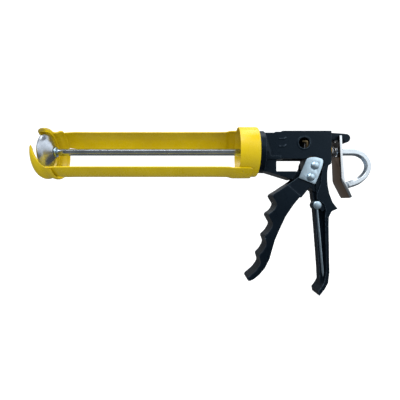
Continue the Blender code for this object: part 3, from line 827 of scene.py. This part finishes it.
def piston():
    rim = PISTON_RIM_X
    profile = [
        (rim + 0.1, PISTON_RADIUS - 1.1), (rim - 0.25, PISTON_RADIUS - 0.8),
        (rim - 0.3, PISTON_RADIUS - 0.4), (rim - 0.1, PISTON_RADIUS - 0.1),
        (rim + 0.3, PISTON_RADIUS), (rim + 1.0, PISTON_RADIUS), (rim + 1.5, PISTON_RADIUS - 0.3),
        (-155.2, 14.0), (-151.6, 8.2), (-150.5, 6.4), (-150.0, 5.6), (-149.9, 5.2),
        (-149.9, STUD_RADIUS + GAP), (-151.4, STUD_RADIUS + GAP), (-151.45, 5.2),
        (-151.8, 5.9), (-155.0, 11.0), (rim + 0.5, PISTON_RADIUS - 1.4),
    ]
    dish = to_object("piston_skin", turned(profile, steps=128))
    finish_piece(dish, DISH, "rod", "bright_steel", "piston", angle=30)
    washer = to_object("piston_washer_skin", tube(
        STUD_RADIUS + GAP, 5.2, -149.6, -147.9, ease=0.35, steps=96
    ))
    finish_piece(washer, ZINC, "rod", "zinc", "piston_washer")
    nut = to_object("piston_nut_skin", turned(
        [(-156.1, 0.0), (-156.1, 6.1), (-152.5, 6.1), (-152.5, 0.0)], steps=6
    ))
    cone = [(-156.1, 0.0), (-156.1, 5.2), (-155.1, 6.9), (-152.5, 6.9), (-152.5, 0.0)]
    combine(nut, turned(cone, steps=64), "INTERSECT")
    cut(nut, rod_round(STUD_RADIUS + GAP, -160.0, -148.0, steps=48))
    round_edges(nut, 0.15, 2, 30)
    finish_piece(nut, ZINC, "rod", "zinc", "piston_nut")


# ---------------------------------------------------------------- casting


def housing():
    obj = to_object("housing_skin", prism(body_outline(), -BODY_HALF, BODY_HALF, 0.4, 2))
    cut(obj, box(*CAVITY_X, -CAVITY_HALF, CAVITY_HALF, -16.0, 15.0))
    cut(obj, box(97.0, 122.0, -8.6, -6.5, -17.0, 15.3))
    cut(obj, rod_round(CHEEK_RADIUS + 0.6, -20.0, 20.0, "Y", PIVOT, steps=96))
    flange = [
        (SPIGOT_FRONT, 0.0), (SPIGOT_FRONT, SPIGOT_RADIUS - 0.6),
        (SPIGOT_FRONT + 0.6, SPIGOT_RADIUS), (FLANGE_X[0], SPIGOT_RADIUS),
        (FLANGE_X[0], FLANGE_RADIUS - 0.6), (FLANGE_X[0] + 0.6, FLANGE_RADIUS),
        (FLANGE_X[1] - 0.6, FLANGE_RADIUS), (FLANGE_X[1], FLANGE_RADIUS - 0.6),
        (FLANGE_X[1], 0.0),
    ]
    unite(obj, turned(flange, steps=128))
    unite(obj, prism(web_outline(), -9.8, 9.8, 0.5))
    for side in (-1, 1):
        unite(obj, loft(wedge_loops(side)))
    unite(obj, prism(ledge_outline(), -10.7, 10.7, 0.3, 2))
    for drop in (0.0, 7.6):
        unite(obj, prism(mark_outline(drop), -10.6, -9.0))
    unite(obj, prism(block_outline(), -BLOCK_HALF, BLOCK_HALF))
    unite(obj, rod_round(4.2, -BOSS_HALF, BOSS_HALF, "Y", PIVOT))
    unite(obj, prism(throat_outline(), -THROAT_HALF, THROAT_HALF))
    unite(obj, prism(grip_rear_outline(), -9.95, 9.95))
    unite(obj, prism(grip_front_outline(), -4.5, 4.5))
    unite(obj, prism(grip_core_outline(), -2.5, 2.5))
    unite(obj, prism(arm_outline(), -5.0, 5.0, 0.6))
    unite(obj, rod_round(KNOB_RADIUS, -5.2, 5.2, "Y", KNOB, 0.8))
    unite(obj, rod_round(CUTTER_RADIUS + 1.6, -10.4, -9.5, "Y", CUTTER_HOLE, 0.3, 96))
    unite(obj, rod_round(4.3, -9.85, -3.1, "Y", PUNCTURE))
    cut(obj, rod_round(ROD_BORE, 45.0, 140.0))
    cut(obj, rod_round(7.9, 130.2, 138.0))
    drill(obj, CUTTER_RADIUS, CUTTER_HOLE, -12.0, -6.0)
    drill(obj, PIN_HOLE, PIVOT, -9.0, 9.0)
    drill(obj, NEEDLE_HOLE, PUNCTURE, -11.0, 0.5)
    cast(obj, CAST_VOXEL, 2, 0.2)
    finish_piece(obj, BLACK, "handle", "black_casting", "housing", angle=60)


# ---------------------------------------------------------------- trigger and drive


def trigger():
    obj = to_object("trigger_skin", prism(
        trigger_outline(8), -TRIGGER_HALF, TRIGGER_HALF, 1.0, 3
    ))
    unite(obj, prism(cheek_outline(24), -CHEEK_HALF, CHEEK_HALF))
    cut(obj, prism(channel_outline(), -CHANNEL_HALF, CHANNEL_HALF))
    drill(obj, PIN_HOLE, PIVOT, -THROUGH, THROUGH)
    drill(obj, RIVET_HOLE, RIVET, -THROUGH, THROUGH)
    drill(obj, RIVET_HOLE, DRIVE, -THROUGH, THROUGH)
    cast(obj, CAST_VOXEL, 16, 0.22)
    finish_piece(obj, BLACK, "trigger", "black_casting", "trigger", angle=60)


def dome(face, head, height):
    """A rivet's domed head, as (along, radius) points from its face to its crown."""
    points = [(face, head - 0.12), (face + 0.12, head)]
    for turn in range(0, 91, 10):
        side = math.radians(turn)
        points.append((face + 0.5 + (height - 0.5) * math.sin(side), head * math.cos(side)))
    return points[:-1] + [(face + height, 0.0)]


def links():
    shapes = ((-1, "near", link_outline(4)), (1, "far", far_link_outline(24)))
    for side, word, outline in shapes:
        y0, y1 = sorted((side * PLATE_Y[0], side * PLATE_Y[1]))
        obj = to_object(f"link_{word}_skin", prism(outline, y0, y1))
        drill(obj, PIN_HOLE, PIVOT, -THROUGH, THROUGH)
        drill(obj, RIVET_HOLE, RIVET, -THROUGH, THROUGH)
        round_edges(obj, 0.28, 3, 50)
        finish_piece(obj, ZINC, "trigger", "zinc", f"link_plate_{word}")
        head = [(8.9, 0.0), (8.9, 2.0), (RIVET_FOOT, 2.0)]
        head += dome(RIVET_FOOT, HEAD_RADIUS, RIVET_CROWN)
        rivet = to_object(f"link_rivet_{word}_skin", turned(
            [(side * along, radius) for along, radius in head], "Y", RIVET, 64
        ))
        finish_piece(rivet, ZINC, "trigger", "zinc", f"link_rivet_{word}")


def pins():
    half = [(RIVET_FOOT, 2.6)] + dome(RIVET_FOOT, HEAD_RADIUS, RIVET_CROWN)
    back = [(-along, radius) for along, radius in reversed(half)]
    pin = to_object("pivot_pin_skin", turned(back + half, "Y", PIVOT, 72))
    finish_piece(pin, ZINC, "handle", "zinc", "pivot_pin", angle=32)
    rivet = [(0.2, 0.0), (0.2, 1.6), (-12.5, 1.6)]
    rivet += [(-along, radius) for along, radius in dome(12.5, 4.1, 1.5)]
    head = to_object("puncture_rivet_skin", turned(rivet, "Y", PUNCTURE, 72))
    finish_piece(head, ZINC, "handle", "zinc", "puncture_rivet", angle=32)


def drive():
    made = to_object("cutter_blade_skin", prism(blade_outline(), *BLADE_Y))
    drill(made, PIN_HOLE, PIVOT, -THROUGH, THROUGH)
    drill(made, RIVET_HOLE, DRIVE, -THROUGH, THROUGH)
    round_edges(made, 0.12, 2, 50)
    finish_piece(made, BLADE, "trigger", "blade_steel", "cutter_blade")
    pin = to_object("drive_pin_skin", rod_round(2.0, -10.5, 10.5, "Y", DRIVE, 0.3, 48))
    finish_piece(pin, HARD, "trigger", "hard_steel", "drive_pin")
    for word, x, low in (("front", 109.3, -18.4), ("rear", 112.2, -12.0)):
        obj = to_object(f"grip_{word}_skin", box(x, x + 2.5, -6.6, 6.6, low, 9.0))
        cut(obj, rod_round(ROD_BORE, 100.0, 120.0))
        round_edges(obj, 0.3, 3, 50)
        finish_piece(obj, HARD, "grip", "hard_steel", f"grip_plate_{word}")


def coil(name, spec, cad):
    start, end, radius, wire, turns = spec
    per_turn = 36
    count = turns * per_turn
    curve = bpy.data.curves.new(name, "CURVE")
    curve.dimensions = "3D"
    curve.bevel_depth = wire * MM
    curve.bevel_resolution = 4
    curve.use_fill_caps = True
    line = curve.splines.new("POLY")
    line.points.add(count)
    tuck = 2.1 * wire
    pitch = (end - start - 2 * tuck) / (turns - 2)
    x = start
    for i in range(count + 1):
        turn = math.tau * i / per_turn
        point = (Vector((x, -radius * math.sin(turn), radius * math.cos(turn))) - BASE_CENTRE) * MM
        line.points[i].co = (*point, 1.0)
        flat = i < per_turn or i >= count - per_turn
        x += (tuck if flat else pitch) / per_turn
    tube_object = bpy.data.objects.new(name + "_line", curve)
    bpy.context.scene.collection.objects.link(tube_object)
    graph = bpy.context.evaluated_depsgraph_get()
    mesh = bpy.data.meshes.new_from_object(tube_object.evaluated_get(graph))
    obj = bpy.data.objects.new(name, mesh)
    bpy.context.scene.collection.objects.link(obj)
    bpy.data.objects.remove(tube_object)
    finish_piece(obj, WIRE, "handle", "spring_steel", cad)
    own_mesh(obj)


# ---------------------------------------------------------------- release lever, puncture pin


def release_lever():
    half = LEVER_THICK / 2
    front = [(145.2 - half, 15.6), (145.9 - half, -3.0), (146.9 - half, -27.5),
             (147.0 - half, -29.6), (147.5 - half, -31.6), (148.5 - half, -33.8),
             (154.8, -48.2)]
    back = [(156.9, -47.0), (149.6 + half, -33.2), (148.6 + half, -31.2),
            (148.1 + half, -29.2), (147.9 + half, -27.0), (145.9 + half, -3.0),
            (145.2 + half, 15.6)]
    obj = to_object("release_lever_skin", prism(front + back, -LEVER_HALF, LEVER_HALF))
    cut(obj, box(140.0, 150.0, -5.5, 5.5, 10.5, 20.0))
    cut(obj, rod_round(4.8, 140.0, 152.0))
    for side in (-1, 1):
        corner = [(side * 8.0, -50.0), (side * 11.0, -50.0), (side * 11.0, -44.5)]
        cut(obj, plate(corner, 140.0, 160.0))
    round_edges(obj, 0.45, 3, 50)
    finish_piece(obj, LEVER, "release", "zinc", "release_lever")


def puncture_pin():
    x, z = PUNCTURE
    eye = to_object("puncture_eye", turned([
        (-12.2, 2.2), (-12.2, 3.2), (-11.95, 3.55), (-11.6, 3.7), (-10.9, 3.7), (-10.55, 3.55),
        (-10.3, 3.2), (-10.3, 2.2), (-10.5, 1.9), (-12.0, 1.9),
    ], "Y", PUNCTURE, 64))
    lean = math.radians(NEEDLE_LEAN)
    loops = []
    for along, radius in ((2.6, 1.0), (30.0, 1.0), (66.0, 1.0), (68.5, 0.95), (71.0, 0.5),
                          (72.2, 0.2), (72.4, 0.08)):
        loop = []
        for i in range(24):
            turn = math.tau * i / 24
            across = radius * math.cos(turn)
            loop.append((
                x + along * math.sin(lean) + across * math.cos(lean),
                -11.25 + radius * math.sin(turn),
                z - along * math.cos(lean) + across * math.sin(lean),
            ))
        loops.append(loop)
    unite(eye, loft(loops))
    finish_piece(eye, ZINC, "puncture", "zinc", "puncture_pin")


def fixings():
    bush = to_object("rear_bush_skin", turned([
        (130.5, ROD_BORE), (130.5, 7.6), (136.3, 7.6), (136.3, 8.6), (136.5, 8.8), (137.0, 8.8),
        (137.2, 8.6), (137.2, ROD_BORE + 0.3), (136.9, ROD_BORE),
    ], steps=96))
    finish_piece(bush, BRASS, "handle", "brass", "rear_bush")
    washer = to_object("cradle_washer_skin", tube(
        SPIGOT_RADIUS + GAP, 16.0, 58.4, 59.8, steps=96, ease=0.3
    ))
    finish_piece(washer, ZINC, "handle", "zinc", "cradle_washer")
    nut = to_object("cradle_nut_skin", turned(
        [(51.3, 0.0), (51.3, 15.0), (58.1, 15.0), (58.1, 0.0)], steps=6
    ))
    cone = [(51.3, 0.0), (51.3, 13.2), (52.9, 16.0), (58.1, 16.0), (58.1, 0.0)]
    combine(nut, turned(cone, steps=96), "INTERSECT")
    cut(nut, rod_round(SPIGOT_RADIUS + GAP, 50.0, 60.0, steps=64))
    round_edges(nut, 0.2, 2, 30)
    finish_piece(nut, ZINC, "handle", "zinc", "cradle_nut")


# ---------------------------------------------------------------- stage


def pale_floor():
    """White to look at. In reflections it is a studio: dark walls, bright above and at the hook."""
    made, tree, shader, place = blank("pale_floor")
    drift = spread(tree, noise(tree, place, 3.0, 3.0), 0.3, 0.7)
    tree.links.new(
        blend_colour(tree, drift, (*[FLOOR_GREY * 0.97] * 3, 1.0), (*[FLOOR_GREY] * 3, 1.0)),
        shader.inputs["Base Color"],
    )
    shader.inputs["Roughness"].default_value = 0.9
    shader.inputs["Specular IOR Level"].default_value = 0.1
    shader.inputs["Emission Color"].default_value = (1.0, 1.0, 1.0, 1.0)
    shader.inputs["Emission Strength"].default_value = FLOOR_GLOW
    path = node(tree, "ShaderNodeLightPath").outputs
    parts = node(tree, "ShaderNodeSeparateXYZ", {"Vector": place}).outputs
    towards = spread(tree, parts["Y"], 0.0, -0.6)
    wall = spread(tree, towards, 0.0, 1.0, ROOM_BACK, ROOM_FRONT)
    high = spread(tree, parts["Z"], 0.35, 1.1)
    side = spread(tree, parts["X"], 0.35, 1.1)
    room = plus(tree, wall, times(tree, high, ROOM_HIGH))
    room = plus(tree, room, times(tree, side, ROOM_SIDE))
    room = plus(tree, room, times(tree, path["Is Diffuse Ray"], ROOM_BOUNCE))
    glow = node(tree, "ShaderNodeEmission", {
        "Color": (0.93, 0.97, 1.0, 1.0), "Strength": room,
    })
    seen = path["Is Camera Ray"]
    both = node(tree, "ShaderNodeMixShader", {
        0: seen, 1: glow.outputs["Emission"], 2: shader.outputs["BSDF"],
    })
    tree.links.new(both.outputs["Shader"], tree.nodes["Material Output"].inputs["Surface"])
    return made


def stage():
    """A pale bowl: a flat floor that sweeps up into a wall all round."""
    profile = [(0.0, 0.0), (BOWL_FLAT, 0.0)]
    for i in range(1, 13):
        turn = math.radians(90 * i / 12)
        profile.append((
            BOWL_FLAT + BOWL_SWEEP * math.sin(turn), BOWL_SWEEP - BOWL_SWEEP * math.cos(turn)
        ))
    profile.append((BOWL_FLAT + BOWL_SWEEP, BOWL_HEIGHT))
    bm = bmesh.new()
    verts = [bm.verts.new((radius, 0.0, height - BOWL_DROP)) for radius, height in profile]
    edges = [bm.edges.new(pair) for pair in zip(verts, verts[1:])]
    bmesh.ops.spin(bm, geom=verts + edges, cent=(0, 0, 0), axis=(0, 0, 1), angle=math.tau,
                   steps=96, use_merge=True, use_duplicate=False)
    bmesh.ops.remove_doubles(bm, verts=bm.verts, dist=1e-6)
    mesh = bpy.data.meshes.new("floor")
    bm.to_mesh(mesh)
    bm.free()
    for polygon in mesh.polygons:
        polygon.use_smooth = True
    obj = bpy.data.objects.new("floor", mesh)
    bpy.context.scene.collection.objects.link(obj)
    mesh.materials.append(pale_floor())


def area(name, at, target, size, power, colour=(1.0, 1.0, 1.0)):
    data = bpy.data.lights.new(name, "AREA")
    data.shape = "RECTANGLE"
    data.size, data.size_y = size
    data.energy = power
    data.color = colour
    lamp = bpy.data.objects.new(name, data)
    lamp.location = at
    lamp.rotation_euler = (Vector(target) - Vector(at)).to_track_quat("-Z", "Y").to_euler()
    bpy.context.scene.collection.objects.link(lamp)


def lights():
    middle = (0.0, 0.0, 0.1)
    area("key", (-0.25, -0.55, 0.95), middle, (0.6, 0.45), KEY)
    area("fill", (0.55, -0.75, 0.45), middle, (0.5, 0.7), FILL)
    area("top", (0.05, -0.05, 1.05), middle, (0.9, 0.4), TOP)
    world = bpy.data.worlds.new("soft_room")
    world.use_nodes = True
    world.node_tree.nodes["Background"].inputs["Color"].default_value = (0.9, 0.95, 1.0, 1.0)
    world.node_tree.nodes["Background"].inputs["Strength"].default_value = WORLD
    bpy.context.scene.world = world


def camera():
    data = bpy.data.cameras.new("camera")
    data.sensor_width = 36.0
    data.lens = LENS
    data.shift_x = SHIFT[0]
    data.shift_y = SHIFT[1]
    data.clip_start = 0.01
    obj = bpy.data.objects.new("camera", data)
    obj.location = CAMERA_AT
    obj.rotation_euler = (math.radians(90.0), 0.0, 0.0)
    bpy.context.scene.collection.objects.link(obj)
    bpy.context.scene.camera = obj
    bpy.context.scene.view_settings.view_transform = "Standard"


front_ring()
strap("strap_near_skin", STRAP_NEAR, STRAP_STATIONS, "strap_near")
far_weld = ((FAR_STATIONS[0][0] - WELD_LAP, *FAR_STATIONS[0][1:]),)
strap("strap_far_skin", STRAP_FAR, far_weld + FAR_STATIONS[1:], "strap_far")
rear_cup()
push_rod()
piston()
housing()
trigger()
links()
pins()
drive()
coil("drive_spring_skin", DRIVE_COIL, "drive_spring")
coil("release_spring_skin", RELEASE_COIL, "release_spring")
release_lever()
puncture_pin()
fixings()
stage()
lights()
camera()
